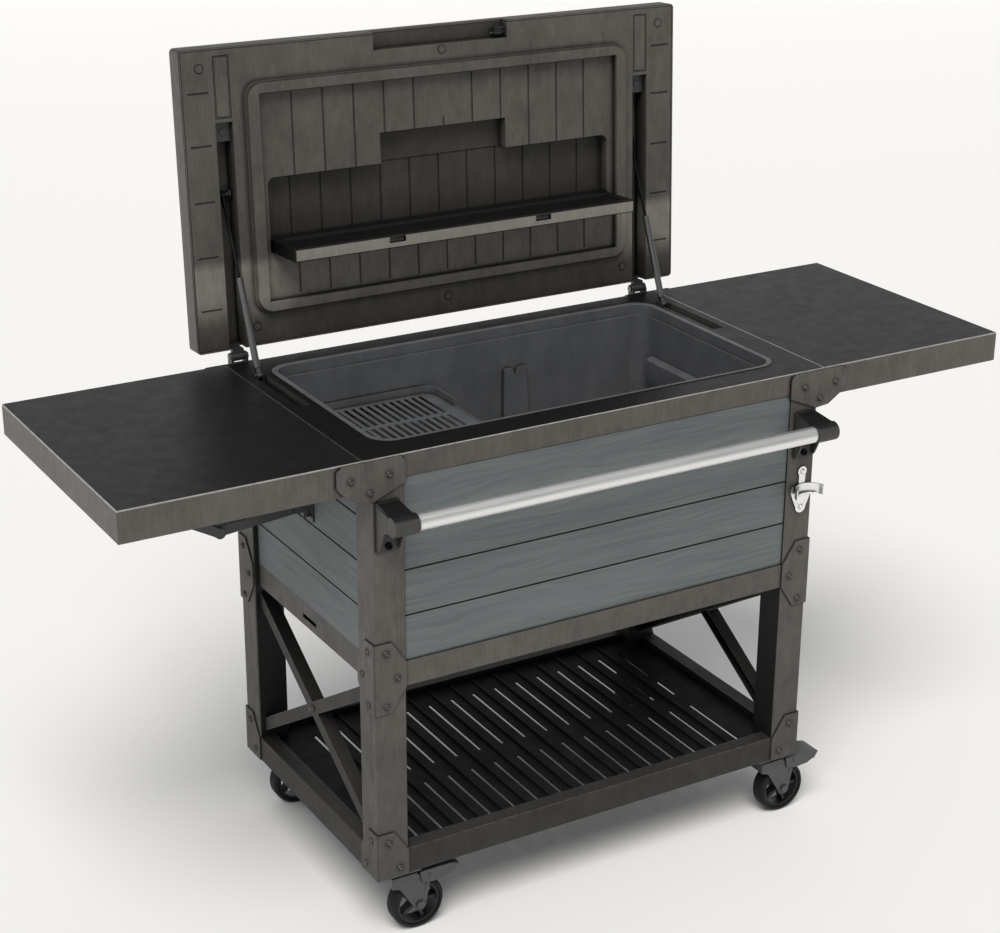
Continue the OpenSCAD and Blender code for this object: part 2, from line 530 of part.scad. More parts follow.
tray_mid = (tub_front + tub_back) / 2;
tray_rows = [[tub_front + 18, tray_mid - 97.5], [tray_mid - 84.5, tray_mid - 6.5],
  [tray_mid + 6.5, tray_mid + 84.5], [tray_mid + 97.5, tub_back - 18]];
module tray() color("#3f4144") difference() {
  rbox(-tub_x + 5, -tub_x + 2 + tray_len, tub_front + 5, tub_back - 5, tray_z - 18, tray_z, 28);
  rbox(-tub_x + 8, -tub_x - 1 + tray_len, tub_front + 8, tub_back - 8, tray_z - 15, tray_z + 1, 25);
  // lowered middle of the right side, to take hold of
  bx(-tub_x - 8 + tray_len, -tub_x + 5 + tray_len, tray_mid - 118, tray_mid + 118, tray_z - 14, tray_z + 1);
  for (x = [-tub_x + 22:16:-tub_x + tray_len - 24]) for (r = tray_rows)
    bx(x, x + 8, r[0], r[1], tray_z - 19, tray_z - 14);
}

module leaf() color("#2a2a2b") {
  difference() {
    union() {
      rbox(joint_x + 0.5, joint_x + leaf_len, -edge_y, edge_y, leaf_z, deck_z - 1, 2);
      rbox(joint_x + 0.5, joint_x + leaf_len - 1, -edge_y + 1, edge_y - 1, deck_z - 2, deck_z, 2);
    }
    bx(joint_x + 3.5, joint_x + leaf_len - 3, -edge_y + 3, edge_y - 3, leaf_z - 1, deck_z - 3);
    my() bx(joint_x, joint_x + 4, 148, 192, leaf_z - 1, leaf_z + 8);
  }
  my() difference() {
    union() {
      bx(joint_x + 3.5, joint_x + 7, 170.3, 191, leaf_z, leaf_z + 32);
      cy(7, 170.3, 191, joint_x, leaf_z);
    }
    cy(4 + fit, 160, 200, joint_x, leaf_z);
  }
  difference() {
    ply(-12, 12) {
      translate([stay_bx, stay_bz]) circle(r = 10);
      translate([stay_bx - 10, stay_bz]) square([20, deck_z - 2 - stay_bz]);
    }
  }
  cy(5, -31, 31, stay_bx, stay_bz);
}
module leaf_r() leaf();
module leaf_l() mirror([1, 0, 0]) leaf();
module leaf_hinge_plates() color("#3a3a3b") mx() my() difference() {
  union() {
    bx(joint_x - 6.5, joint_x - 3.5, 150, 169.7, leaf_z, leaf_z + 32);
    cy(7, 150, 169.7, joint_x, leaf_z);
  }
  cy(4 + fit / 2, 140, 200, joint_x, leaf_z);
}

module stay_brackets() color("#1d1d1e") mx() {
  difference() {
    bx(side_x, side_x + 3, -34, 34, stay_az - 27, stay_az + 27);
    for (z = [stay_az - 18, stay_az + 18]) for (y = [-28, 28]) cx(2.5 + fit, side_x - 1, side_x + 4, y, z);
  }
  my() ply(20.2, 23.2) {
    translate([stay_ax, stay_az]) circle(r = 9);
    translate([side_x + 2, stay_az - 20]) square([14, 40]);
    translate([side_x + 2, stay_az - 9]) square([stay_ax - side_x - 2, 18]);
  }
  cy(5, -23, 23, stay_ax, stay_az);
  for (z = [stay_az - 18, stay_az + 18]) for (y = [-28, 28]) {
    cx(2.5, side_x - 10, side_x + 3, y, z);
    cx(4.5, side_x + 3, side_x + 5.5, y, z);
  }
}
module stay_low() color("#1d1d1e") {
  difference() {
    my() ply(15, 19.7) link2(stay_ax, stay_az, stay_ex, stay_ez, 11);
    cy(5 + fit, -30, 30, stay_ax, stay_az);
  }
  translate([stay_ax, 0, stay_az]) rotate([0, -atan2(stay_ez - stay_az, stay_ex - stay_ax), 0])
    bx(26, norm([stay_ex - stay_ax, stay_ez - stay_az]) - 18, -16, 16, 5.5, 8.5);
  cy(5, -23.7, 23.7, stay_ex, stay_ez);
}
module stay_up() color("#1d1d1e") {
  difference() {
    my() ply(24, 29) {
      link2(stay_bx, stay_bz, stay_ex, stay_ez, 10);
      link2(stay_bx, stay_bz, stay_bx + 14, stay_bz - 8, 7);
    }
    cy(5 + fit, -40, 40, stay_bx, stay_bz);
  }
  translate([stay_bx, 0, stay_bz]) rotate([0, -atan2(stay_ez - stay_bz, stay_ex - stay_bx), 0]) {
    bx(30, 44, -25, 25, -7.5, -4.5);
    bx(66, 84, -25, 25, -7.5, -4.5);
  }
}
module stay_low_r() stay_low();
module stay_low_l() mirror([1, 0, 0]) stay_low();
module stay_up_r() stay_up();
module stay_up_l() mirror([1, 0, 0]) stay_up();

crown_z = base_z - 14;
module caster_plates() color("#1d1d1e") mx() my() translate([king_x, -king_y, 0]) {
  union() {
    bx(-35, 35, -27, 27, base_z - 3, base_z);
    cz(19, base_z - 9.5, base_z - 3, 0, 0);
    cz(6, crown_z - 7, base_z - 9, 0, 0);
    cz(10, crown_z - 7, crown_z - 0.3, 0, 0);
  }
}
module fork() color("#26272a") {
  difference() {
    union() {
      bx(-22, 30, -21, 21, crown_z, crown_z + 4);
      my() ply(18, 21) {
        polygon([[-22, crown_z + 4], [30, crown_z + 4], [31, crown_z - 1], [trail + 20, crown_z - 1], [trail + 23, crown_z - 9],
          [trail + 13, wheel_r + 2], [trail - 13, wheel_r - 2], [-6, crown_z - 22], [-22, crown_z - 17]]);
        translate([trail, wheel_r]) circle(r = 13);
      }
      bx(-22, -19, -21, 21, crown_z - 16, crown_z + 4);
      cy(6, -24, 24, trail, wheel_r);
      my() translate([trail, -21, wheel_r]) rotate([90, 0, 0]) cylinder(r = 8.5, h = 4.5, $fn = 6);
      cy(3, -24.6, 24.6, trail + 18, crown_z - 5);
    }
    cz(6 + fit, crown_z - 1, crown_z + 5, 0, 0);
  }
}
module wheel() color("#2c2d30") difference() {
  union() {
    my() translate([trail, 0, wheel_r]) rotate([90, 0, 0]) difference() {
      cylinder(r = wheel_r - 9, h = 14);
      translate([0, 0, -1]) cylinder(r = wheel_r - 14, h = 16);
    }
    cy(11, -17, 17, trail, wheel_r);
    translate([trail, 0, wheel_r]) for (a = [0:72:359]) rotate([0, a, 0]) bx(8, wheel_r - 12, -9, 9, -3.5, 3.5);
  }
  cy(6 + fit, -20, 20, trail, wheel_r);
}
module tyre() color("#151516") difference() {
  union() {
    cy(wheel_r, -11, 11, trail, wheel_r);
    my() translate([trail, -11, wheel_r]) rotate([90, 0, 0]) cylinder(r1 = wheel_r, r2 = wheel_r - 4, h = 5.5);
  }
  cy(wheel_r - 9, -30, 30, trail, wheel_r);
}
module pedal() color("#26272a") difference() {
  union() {
    my() ply(21.4, 24.2) polygon([[34, crown_z + 5], [95, crown_z + 5], [114, crown_z],
      [106, crown_z - 12], [88, crown_z - 20], [60, crown_z - 22], [38, crown_z - 17]]);
    bx(34, 96, -24.2, 24.2, crown_z + 2, crown_z + 5);
    ply(-24.2, 24.2) polygon([[95, crown_z + 5], [115, crown_z], [106, crown_z - 14], [102, crown_z - 14],
      [110, crown_z - 1], [95, crown_z + 2]]);
  }
  cy(3 + fit, -30, 30, trail + 18, crown_z - 5);
}
module at(sx, sy) translate([sx * king_x, sy * king_y, 0]) children();
module fork_fl() at(-1, -1) fork();
module fork_fr() at(1, -1) fork();
module fork_rl() at(-1, 1) fork();
module fork_rr() at(1, 1) fork();
module wheel_fl() at(-1, -1) wheel();
module wheel_fr() at(1, -1) wheel();
module wheel_rl() at(-1, 1) wheel();
module wheel_rr() at(1, 1) wheel();
module tyre_fl() at(-1, -1) tyre();
module tyre_fr() at(1, -1) tyre();
module tyre_rl() at(-1, 1) tyre();
module tyre_rr() at(1, 1) tyre();
module pedal_fl() at(-1, -1) pedal();
module pedal_fr() at(1, -1) pedal();

posts();
deck();
panel_front();
panel_rear();
panel_sides();
lower_rails();
base_rails();
base_rack();
brace_bars();
gussets();
mid_plates();
low_plates();
plate_bolts();
handle_bar();
handle_brackets();
front_screws();
bottle_opener();
tub_liner();
tub_rests();
tub_shell();
drain_plug();
lid_hinge_brackets();
hinge_pins();
strut_feet();
leaf_hinge_plates();
stay_brackets();
caster_plates();
lid_shell();
lid_liner();
lid_plugs();
lid_arms();
strut_heads();
shelf_pins();
lid_latch();
lid_shelf();
strut_tube_l();
strut_tube_r();
strut_rod_l();
strut_rod_r();
tray();
leaf_l();
leaf_r();
stay_low_l();
stay_low_r();
stay_up_l();
stay_up_r();
fork_fl();
fork_fr();
fork_rl();
fork_rr();
wheel_fl();
wheel_fr();
wheel_rl();
wheel_rr();
tyre_fl();
tyre_fr();
tyre_rl();
tyre_rr();
pedal_fl();
pedal_fr();
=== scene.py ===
import math

import bmesh
import bpy
from mathutils import Matrix, Vector


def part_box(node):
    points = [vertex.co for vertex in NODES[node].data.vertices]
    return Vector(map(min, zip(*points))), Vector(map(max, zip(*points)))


bl_info = {
    "name": "Patio Cooler Cart",
    "version": (1, 0, 0),
    "blender": (4, 5, 0),
    "location": "3D View > Sidebar > Cooler Cart",
    "description": "Finishes, studio and camera for a patio cooler cart",
    "category": "Object",
}

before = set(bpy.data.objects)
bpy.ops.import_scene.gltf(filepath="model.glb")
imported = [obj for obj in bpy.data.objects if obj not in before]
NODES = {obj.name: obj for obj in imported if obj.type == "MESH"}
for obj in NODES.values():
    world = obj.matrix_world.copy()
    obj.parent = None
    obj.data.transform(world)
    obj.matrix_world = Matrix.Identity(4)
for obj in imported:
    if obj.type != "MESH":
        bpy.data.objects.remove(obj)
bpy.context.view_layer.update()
# the lid stands open by this angle round this axis (y and z), which lies this far above its lining in metres
LID_ANGLE = 92.68
LID_AXIS = (0.2956, 0.9472)
LID_AXIS_DEPTH = 0.0059
# painted shade: the lining darkens between these depths, in metres, down to this share
POCKET_SHADE = (0.003, 0.022, 0.42)
# the same painted shade for the slots of the struts, which are nearly black inside
SLOT_SHADE = (0.0285, 0.034, 0.02)
# colour of the painted shade in seams, grooves, pockets and slots
SHADE_BLACK = "#050505"
# bright end of the painted highlight along the rolled rim round the worktop and the leaves
RIM_HIGHLIGHT = "#a9a7a3"
# edges bent by more than this many degrees are rounded, and a little more keeps a crisp corner
BEVEL_ANGLE = 40
CRISP_ANGLE = 42
# roundings in metres, from small screws and turned pins up to bolted plates and thick mouldings
SCREW_ROUND = 0.0003
TURNED_ROUND = 0.0004
PRESSED_ROUND = 0.0005
THIN_ROUND = 0.0006
BLOCK_ROUND = 0.0008
PLATE_ROUND = 0.0009
THICK_ROUND = 0.001
# corners closer than this, in metres, are one corner, and on pieces with very thin steps the second value
SAME_CORNER = 0.00001
THIN_STEP = 0.0005
# the coat's pattern runs from its dark to its light colour between these values
COAT_SPREAD = (0.38, 0.6)
# half the width of the studio floor in metres
FLOOR_REACH = 30.0

# shader nodes by what they do here, with their settings
PLACE = ("ShaderNodeTexCoord", {})
MAPPED = ("ShaderNodeMapping", {})
SPLIT = ("ShaderNodeSeparateXYZ", {})
JOIN = ("ShaderNodeCombineXYZ", {})
NOISE = ("ShaderNodeTexNoise", {})
RANGE = ("ShaderNodeMapRange", {})
BLEND = ("ShaderNodeMix", {"data_type": "RGBA"})
PLUS = ("ShaderNodeMath", {"operation": "ADD"})
MINUS = ("ShaderNodeMath", {"operation": "SUBTRACT"})
TIMES = ("ShaderNodeMath", {"operation": "MULTIPLY"})
OVER = ("ShaderNodeMath", {"operation": "DIVIDE"})
FLOOR = ("ShaderNodeMath", {"operation": "FLOOR"})
LARGER = ("ShaderNodeMath", {"operation": "MAXIMUM"})
VECTOR_PLUS = ("ShaderNodeVectorMath", {"operation": "ADD"})
VECTOR_TIMES = ("ShaderNodeVectorMath", {"operation": "MULTIPLY"})
VECTOR_DOT = ("ShaderNodeVectorMath", {"operation": "DOT_PRODUCT"})
BUMP = ("ShaderNodeBump", {})
NEAR_SHADE = ("ShaderNodeAmbientOcclusion", {"samples": 4})
WIDE_SHADE = ("ShaderNodeAmbientOcclusion", {"samples": 3})


class CartSizes(bpy.types.PropertyGroup):
    """Roundings of edges, each for a family of pieces."""

    sheet_round: bpy.props.FloatProperty(
        name="Sheet edge rounding",
        description="Radius of the worn edges of the folded sheet parts",
        default=0.0008,
        min=0.0,
        unit="LENGTH",
    )
    resin_round: bpy.props.FloatProperty(
        name="Resin edge rounding",
        description="Radius of the edges of the moulded parts",
        default=0.0012,
        min=0.0,
        unit="LENGTH",
    )
    top_edge: bpy.props.FloatProperty(
        name="Worktop edge rounding",
        description="Radius of the rolled edges round the worktop",
        default=0.0014,
        min=0.0,
        unit="LENGTH",
    )
    leaf_edge: bpy.props.FloatProperty(
        name="Leaf edge rounding",
        description="Radius of the rolled edges round the leaves",
        default=0.001,
        min=0.0,
        unit="LENGTH",
    )


class CartColours(bpy.types.PropertyGroup):
    """Colours of the finishes, as sRGB hex values."""

    coat: bpy.props.StringProperty(
        name="Frame coat",
        description="Colour of the brushed coat on rails, posts and plates",
        default="#5e5b57",
    )
    coat_dark: bpy.props.StringProperty(
        name="Frame coat shade",
        description="Darker colour in the brush marks of the frame coat",
        default="#484642",
    )
    top: bpy.props.StringProperty(
        name="Worktop",
        description="Colour of the worktop and leaf tops",
        default="#0f0f10",
    )
    board: bpy.props.StringProperty(
        name="Boards",
        description="Colour of the wood-grain boards",
        default="#6a7071",
    )
    board_dark: bpy.props.StringProperty(
        name="Boards shade",
        description="Darker colour in the grain of the boards",
        default="#595f61",
    )
    resin: bpy.props.StringProperty(
        name="Tub resin",
        description="Colour of the moulded tub",
        default="#5d5f62",
    )


class StudioSettings(bpy.types.PropertyGroup):
    """Light of the studio."""

    overhead: bpy.props.FloatProperty(
        name="Overhead light",
        description="Strength of the wide light from the upper front left",
        default=2.35,
    )
    side_power: bpy.props.FloatProperty(
        name="Side light",
        description="Power of the soft box on the left",
        default=12.0,
        unit="POWER",
    )
    world: bpy.props.FloatProperty(
        name="Surroundings",
        description="Brightness of the pale surroundings",
        default=0.36,
        min=0.0,
    )
    back_power: bpy.props.FloatProperty(
        name="Back light",
        description="Power of the long soft box behind the cart",
        default=88.0,
        unit="POWER",
    )


def linear(text):
    """The linear colour of an sRGB hex value."""
    channels = []
    for start in (1, 3, 5):
        value = int(text[start:start + 2], 16) / 255.0
        if value <= 0.04045:
            channels.append(value / 12.92)
        else:
            channels.append(((value + 0.055) / 1.055) ** 2.4)
    return (*channels, 1.0)


def node(tree, kind, *values, output=0, **named):
    """Adds a shader node, fills or links its open inputs by order and by name, and gives one output."""
    made = tree.nodes.new(kind[0])
    for key, value in kind[1].items():
        setattr(made, key, value)
    sockets = [socket for socket in made.inputs if socket.enabled]
    filled = list(zip(sockets, values))
    filled += [(made.inputs[key], value) for key, value in named.items()]
    for socket, value in filled:
        if isinstance(value, bpy.types.NodeSocket):
            tree.links.new(value, socket)
        else:
            socket.default_value = value
    if isinstance(output, str):
        return made.outputs[output]
    return [socket for socket in made.outputs if socket.enabled][output]


def start_material(name):
    """A new material with one shader. Returns the material, its tree and the shader."""
    material = bpy.data.materials.new(name)
    material.use_nodes = True
    tree = material.node_tree
    return material, tree, tree.nodes["Principled BSDF"]


def surface(shader, colour, rough, gloss=None, grain=None, depth=0.0, strength=0.0):
    """Links colour and roughness to the shader, and a grain as relief of the given depth in metres."""
    tree = shader.id_data
    tree.links.new(colour, shader.inputs["Base Color"])
    tree.links.new(rough, shader.inputs["Roughness"])
    if gloss is not None:
        shader.inputs["Specular IOR Level"].default_value = gloss
    if grain is not None:
        bump = node(tree, BUMP, Height=grain, Distance=depth, Strength=strength)
        tree.links.new(bump, shader.inputs["Normal"])


def measure(tree, axis, source="Object"):
    """A point's place along an axis in metres, or with Normal as source how far its face looks that way."""
    return node(tree, SPLIT, node(tree, PLACE, output=source), output=axis)


def stretched(tree, size):
    """Coordinates of the piece, in which one unit is the given size in millimetres along each axis."""
    scale = tuple(1000.0 / value for value in size)
    return node(tree, MAPPED, Vector=node(tree, PLACE, output="Object"), Scale=scale)


def cloud(tree, size, detail=3.0, roughness=0.5):
    """Soft noise with blotches of the given size in millimetres."""
    return node(tree, NOISE, Vector=stretched(tree, size), Scale=1.0, Detail=detail, Roughness=roughness)


def weighted(tree, parts):
    """The sum of some patterns, each with its share."""
    total = None
    for pattern, share in parts:
        part = node(tree, TIMES, pattern, share)
        total = part if total is None else node(tree, PLUS, total, part)
    return total


def mottled(tree, pattern, low, high, dark, light):
    """Two colours mottled by a pattern: the first one below low, and the second one above high."""
    return node(tree, BLEND, node(tree, RANGE, pattern, low, high), linear(dark), linear(light))


def faded(tree, colour, low_z, high_z, share):
    """The colour, darkened to a share of itself from one height down to another, as painted shade."""
    height = node(tree, RANGE, measure(tree, "Z"), low_z, high_z, share, 1.0)
    return node(tree, BLEND, height, linear("#000000"), colour)


def shaded_inside(tree, colour, inner_shade):
    """The colour on outer faces, and painted shade, nearly black, on faces that look towards the middle of
    the cart.
    """
    level = node(tree, VECTOR_TIMES, node(tree, PLACE, output="Object"), (1.0, 1.0, 0.0))
    across = node(tree, VECTOR_DOT, level, node(tree, PLACE, output="Normal"))
    outer = node(tree, RANGE, across, -0.12, -0.06)
    return node(tree, BLEND, outer, linear(inner_shade), colour)


def sunk_dark(tree, colour, direction, surface_at, shelf_z):
    """The colour with painted shade: darker in pockets above the shelf and black in deep slots, sunk under a
    tilted plane.
    """
    depth = node(tree, VECTOR_DOT, node(tree, PLACE, output="Object"), direction)
    under = node(tree, RANGE, measure(tree, "Z"), shelf_z - 0.01, shelf_z, 1.0, 0.0)
    start, end, share = POCKET_SHADE
    pocket = node(tree, RANGE, depth, surface_at + start, surface_at + end, 1.0, share)
    pocket = node(tree, LARGER, pocket, under)
    start, end, share = SLOT_SHADE
    slot = node(tree, RANGE, depth, surface_at + start, surface_at + end, 1.0, share)
    return node(tree, BLEND, node(tree, TIMES, pocket, slot), linear(SHADE_BLACK), colour)


def crevice_shade(tree, colour, reach=0.007, low=0.42, deep=0.12):
    """The colour with painted shade in seams, grooves and round bolt heads, of the given reach in metres."""
    near = node(tree, NEAR_SHADE, Distance=reach, output="AO")
    wide = node(tree, WIDE_SHADE, Distance=reach * 6.0, output="AO")
    seam_shade = node(tree, RANGE, near, low, 0.97, deep, 1.0)
    shade = node(tree, RANGE, wide, 0.15, 0.9, 0.55, 1.0)
    return node(tree, BLEND, node(tree, TIMES, seam_shade, shade), linear(SHADE_BLACK), colour)


def coat_pattern(tree):
    """Mottled, upright brush marks of the coat, from 0 to 1.

    Real brush marks would be some tenths of a millimetre wide. They are drawn 2.2 mm wide and 45 mm long, or
    they wouldn't show.
    """
    brush = cloud(tree, (2.2, 2.2, 45.0), 3.0, 0.6)
    blotch = cloud(tree, (22.0, 22.0, 40.0), 5.0, 0.62)
    wide = cloud(tree, (140.0, 140.0, 140.0), 2.0)
    fine = cloud(tree, (1.6, 1.6, 2.4), 2.0, 0.6)
    return weighted(tree, ((brush, 0.26), (blotch, 0.34), (wide, 0.25), (fine, 0.15)))


def with_painted_light(tree, colour, marks, low_z, high_z, tones):
    """The colour, with paler coat as painted light between two heights, as the photograph shows it under the
    lid's shelf.
    """
    above = node(tree, RANGE, measure(tree, "Z"), low_z, low_z + 0.05)
    below = node(tree, RANGE, measure(tree, "Z"), high_z - 0.02, high_z, 1.0, 0.0)
    pale = mottled(tree, marks, *COAT_SPREAD, *tones)
    return node(tree, BLEND, node(tree, TIMES, above, below), colour, pale)


def brushed_coat(
    name, light, dark, reach=0.006, fade=None, inner_shade=None, sunk=None, seam_shade=(0.42, 0.12), light_band=None
):
    """Brushed brown-grey coat on sheet steel: mottled, with upright brush marks and a dull gloss."""
    material, tree, shader = start_material(name)
    marks = coat_pattern(tree)
    colour = mottled(tree, marks, *COAT_SPREAD, dark, light)
    if light_band:
        colour = with_painted_light(tree, colour, marks, *light_band)
    if fade:
        colour = faded(tree, colour, *fade)
    if inner_shade:
        colour = shaded_inside(tree, colour, inner_shade)
    if sunk:
        colour = sunk_dark(tree, colour, *sunk)
    # painted shade in seams, grooves and round bolt heads
    colour = crevice_shade(tree, colour, reach, *seam_shade)
    rough = node(tree, RANGE, marks, 0.35, 0.65, 0.66, 0.5)
    surface(shader, colour, rough, 0.35, marks, 0.0004, 0.4)
    return material


def mottled_edge(name, light, spot_tone):
    """Edge of a coated sheet part in one colour, paler in spots of about 12 mm: painted shade on the dark
    edges of frame and lid, a painted highlight on the pale edges of the base.
    """
    material, tree, shader = start_material(name)
    patches = cloud(tree, (12.0, 12.0, 12.0), 3.0, 0.7)
    colour = mottled(tree, patches, 0.35, 0.6, light, spot_tone)
    surface(shader, colour, node(tree, RANGE, patches, 0.3, 0.7, 0.5, 0.36))
    return material


def rolled_edge(name, coat, top_z, behind=None):
    """Rolled rim of the worktop: a painted highlight in patches along the top, coated below and behind a
    given depth.
    """
    material, tree, shader = start_material(name)
    high = node(tree, RANGE, measure(tree, "Z"), top_z - 0.004, top_z - 0.003)
    if behind is not None:
        front = node(tree, RANGE, measure(tree, "Y"), behind, behind + 0.001, 1.0, 0.0)
        high = node(tree, TIMES, high, front)
    patches = cloud(tree, (20.0, 20.0, 20.0), 4.0, 0.7)
    share = node(tree, RANGE, patches, 0.3, 0.6, 0.55, 1.0)
    # the painted highlight along the rim, in patches
    worn = node(tree, BLEND, share, linear(coat), linear(RIM_HIGHLIGHT))
    colour = node(tree, BLEND, high, linear(coat), worn)
    surface(shader, colour, node(tree, RANGE, patches, 0.3, 0.7, 0.5, 0.34))
    return material


def satin_top(name, tops, sides, back=False, front=None):
    """Near-black satin coat with a leather-like skin on top, and the brushed coat on the apron.

    Both come as a dark and a light colour. With back, faces that look back are satin, and upper faces nearly
    so as painted shade.
    With front, only what lies before that depth has the coat. The skin's pores, well under a millimetre
    in a real coat, are drawn at 1.6 mm, so that they show.
    """
    material, tree, shader = start_material(name)
    up = node(tree, RANGE, measure(tree, "Z", "Normal"), 0.6, 0.8, 0.0, 0.7 if back else 1.0)
    if back:
        up = node(tree, LARGER, up, node(tree, RANGE, measure(tree, "Y", "Normal"), 0.6, 0.8))
    if front is not None:
        up = node(tree, LARGER, up, node(tree, RANGE, measure(tree, "Y"), front, front + 0.0005))
    blotch = cloud(tree, (30.0, 30.0, 30.0), 6.0, 0.7)
    pores = cloud(tree, (1.6, 1.6, 1.6), 2.0, 0.6)
    skin = weighted(tree, ((blotch, 0.6), (pores, 0.4)))
    side = mottled(tree, coat_pattern(tree), *COAT_SPREAD, *sides)
    top = mottled(tree, skin, 0.38, 0.62, *tops)
    # painted shade in seams and grooves
    colour = crevice_shade(tree, node(tree, BLEND, up, side, top))
    rough = node(tree, RANGE, skin, 0.35, 0.65, 0.5, 0.38)
    surface(shader, colour, rough, 0.3, skin, 0.0003, 0.45)
    return material


def grained_board(name, light, dark, along, pitch):
    """Wood-grain resin boards: faint lengthwise streaks, different on each board of the given pitch.

    A streak is about 200 mm long and 6 mm wide, with fibres of 70 mm by 1.5 mm in it. Real fibres would be
    finer, and wouldn't show.
    """
    material, tree, shader = start_material(name)
    streak = {"x": (200.0, 6.0, 6.0), "y": (6.0, 200.0, 6.0)}[along]
    fibre = {"x": (70.0, 1.6, 1.4), "y": (1.6, 70.0, 1.4)}[along]
    above = node(tree, MINUS, measure(tree, "Z"), pitch[0])
    board = node(tree, FLOOR, node(tree, OVER, above, pitch[1]))
    shift = node(tree, TIMES, board, 7.31)
    sway = cloud(tree, (220.0, 220.0, 50.0), 1.0)
    bend = node(tree, TIMES, node(tree, MINUS, sway, 0.5), 7.0)
    warp = node(tree, JOIN, shift, shift, bend)
    shares = []
    for size, share in ((streak, 0.6), (fibre, 0.4)):
        path = node(tree, VECTOR_PLUS, stretched(tree, size), warp)
        shares.append((node(tree, NOISE, Vector=path, Scale=1.0, Detail=4.0, Roughness=0.6), share))
    lines = node(tree, RANGE, weighted(tree, shares), 0.38, 0.6)
    tone_shift = cloud(tree, (300.0, 300.0, 90.0), 2.0)
    colour = node(tree, BLEND, lines, linear(dark), linear(light))
    colour = node(tree, BLEND, node(tree, RANGE, tone_shift, 0.35, 0.65, 0.0, 0.3), colour, linear("#727779"))
    # painted shade in the seams between the boards
    colour = crevice_shade(tree, colour, 0.008, 0.5, 0.05)
    rough = node(tree, RANGE, lines, 0.0, 1.0, 0.62, 0.54)
    surface(shader, colour, rough, 0.3, lines, 0.0004, 0.4)
    return material


def moulded_resin(name, tone, deep, rough=0.5, gloss=0.3):
    """Moulded resin with a fine spark-eroded skin and slight flow marks.

    The real grit would be about 0.1 mm. It is drawn at 0.9 mm, or it wouldn't show.
    """
    material, tree, shader = start_material(name)
    flow = cloud(tree, (50.0, 50.0, 90.0), 4.0, 0.6)
    grit = cloud(tree, (0.9, 0.9, 0.9), 1.0)
    # painted shade in seams and hollows
    colour = crevice_shade(tree, mottled(tree, flow, 0.35, 0.65, deep, tone), 0.006)
    roughness = node(tree, RANGE, flow, 0.3, 0.7, rough + 0.06, rough - 0.06)
    surface(shader, colour, roughness, gloss, grit, 0.0002, 0.35)
    return material


def plain_metal(name, tone, rough, marks=(1.0, 1.0, 1.0), strength=0.2, coated=False, black_above=None):
    """Bare or plated metal with fine marks of a size in millimetres, black above a given height."""
    material, tree, shader = start_material(name)
    scratch = cloud(tree, marks, 3.0, 0.6)
    colour = mottled(tree, scratch, 0.3, 0.7, *tone)
    if black_above is not None:
        high = node(tree, RANGE, measure(tree, "Z"), black_above, black_above + 0.001)
        colour = node(tree, BLEND, high, colour, linear("#151516"))
    shader.inputs["Metallic"].default_value = 0.0 if coated else 1.0
    roughness = node(tree, RANGE, scratch, 0.3, 0.7, rough + 0.05, rough - 0.05)
    # painted shade in seams round the part
    surface(shader, crevice_shade(tree, colour, 0.005), roughness, None, scratch, 0.0001, strength)
    return material


def dress(name, coat, edge=None, round_off=THIN_ROUND, segments=2, flat=False, joined=SAME_CORNER):
    """Gives a carried-over piece its finish, joins corners closer than joined, and rounds its edges."""
    piece = NODES[name]
    piece.data.materials.clear()
    piece.data.materials.append(coat)
    piece.data.materials.append(edge or coat)
    weld = piece.modifiers.new("Joined corners", "WELD")
    weld.merge_threshold = joined
    if flat:
        join = piece.modifiers.new("Whole faces", "DECIMATE")
        join.decimate_type = "DISSOLVE"
        join.angle_limit = math.radians(1)
    bevel = piece.modifiers.new("Rounded edges", "BEVEL")
    bevel.width = round_off
    bevel.segments = segments
    bevel.limit_method = "ANGLE"
    bevel.angle_limit = math.radians(BEVEL_ANGLE)
    bevel.use_clamp_overlap = False
    bevel.material = 1
    split = piece.modifiers.new("Crisp corners", "EDGE_SPLIT")
    split.split_angle = math.radians(CRISP_ANGLE)
    piece.modifiers.new("Even shading", "WEIGHTED_NORMAL")


class CART_OT_frame(bpy.types.Operator):
    """Finishes posts, rails, plates and braces."""

    bl_idname = "cooler_cart.frame"
    bl_label = "Frame"

    def execute(self, context):
        colours = context.scene.cart_colours
        sizes = context.scene.cart_sizes
        # the coat is a little darker towards the floor as painted shade: heights in metres and the share that
        # is left
        fade = (0.1, 0.6, 0.65)
        # brushed coat on folded steel sheet: brown-grey with upright marks, and painted shade, nearly black,
        # on its inner faces
        coat = brushed_coat("Brushed coat", colours.coat, colours.coat_dark, fade=fade, inner_shade="#151514")
        # painted shade on the bent edges, so that corners read as thin dark lines
        edge = mottled_edge("Shaded coat edge", "#252422", "#3d3b38")
        # the same coat on the bolted plates, with painted shade as a dark seam round each plate and bolt
        plate = brushed_coat(
            "Brushed coat of the plates", colours.coat, colours.coat_dark, 0.009, fade, seam_shade=(0.62, 0.06)
        )
        # the same coat near the ground, darkened almost to black as painted shade, with paler edges as
        # painted highlights that draw the rails
        low = brushed_coat("Brushed coat of the base", "#2f2d2b", "#21201f", inner_shade="#121212")
        low_edge = mottled_edge("Base edge with painted highlight", "#2c2b29", "#5c5a56")
        dress("posts", coat, edge, sizes.sheet_round, flat=True)
        dress("lower_rails", coat, edge, sizes.sheet_round)
        dress("base_rails", low, low_edge, sizes.sheet_round)
        dress("brace_bars", low, low_edge)
        for name in ("gussets", "mid_plates", "low_plates"):
            dress(name, plate, edge, PLATE_ROUND, flat=True)
        return {"FINISHED"}


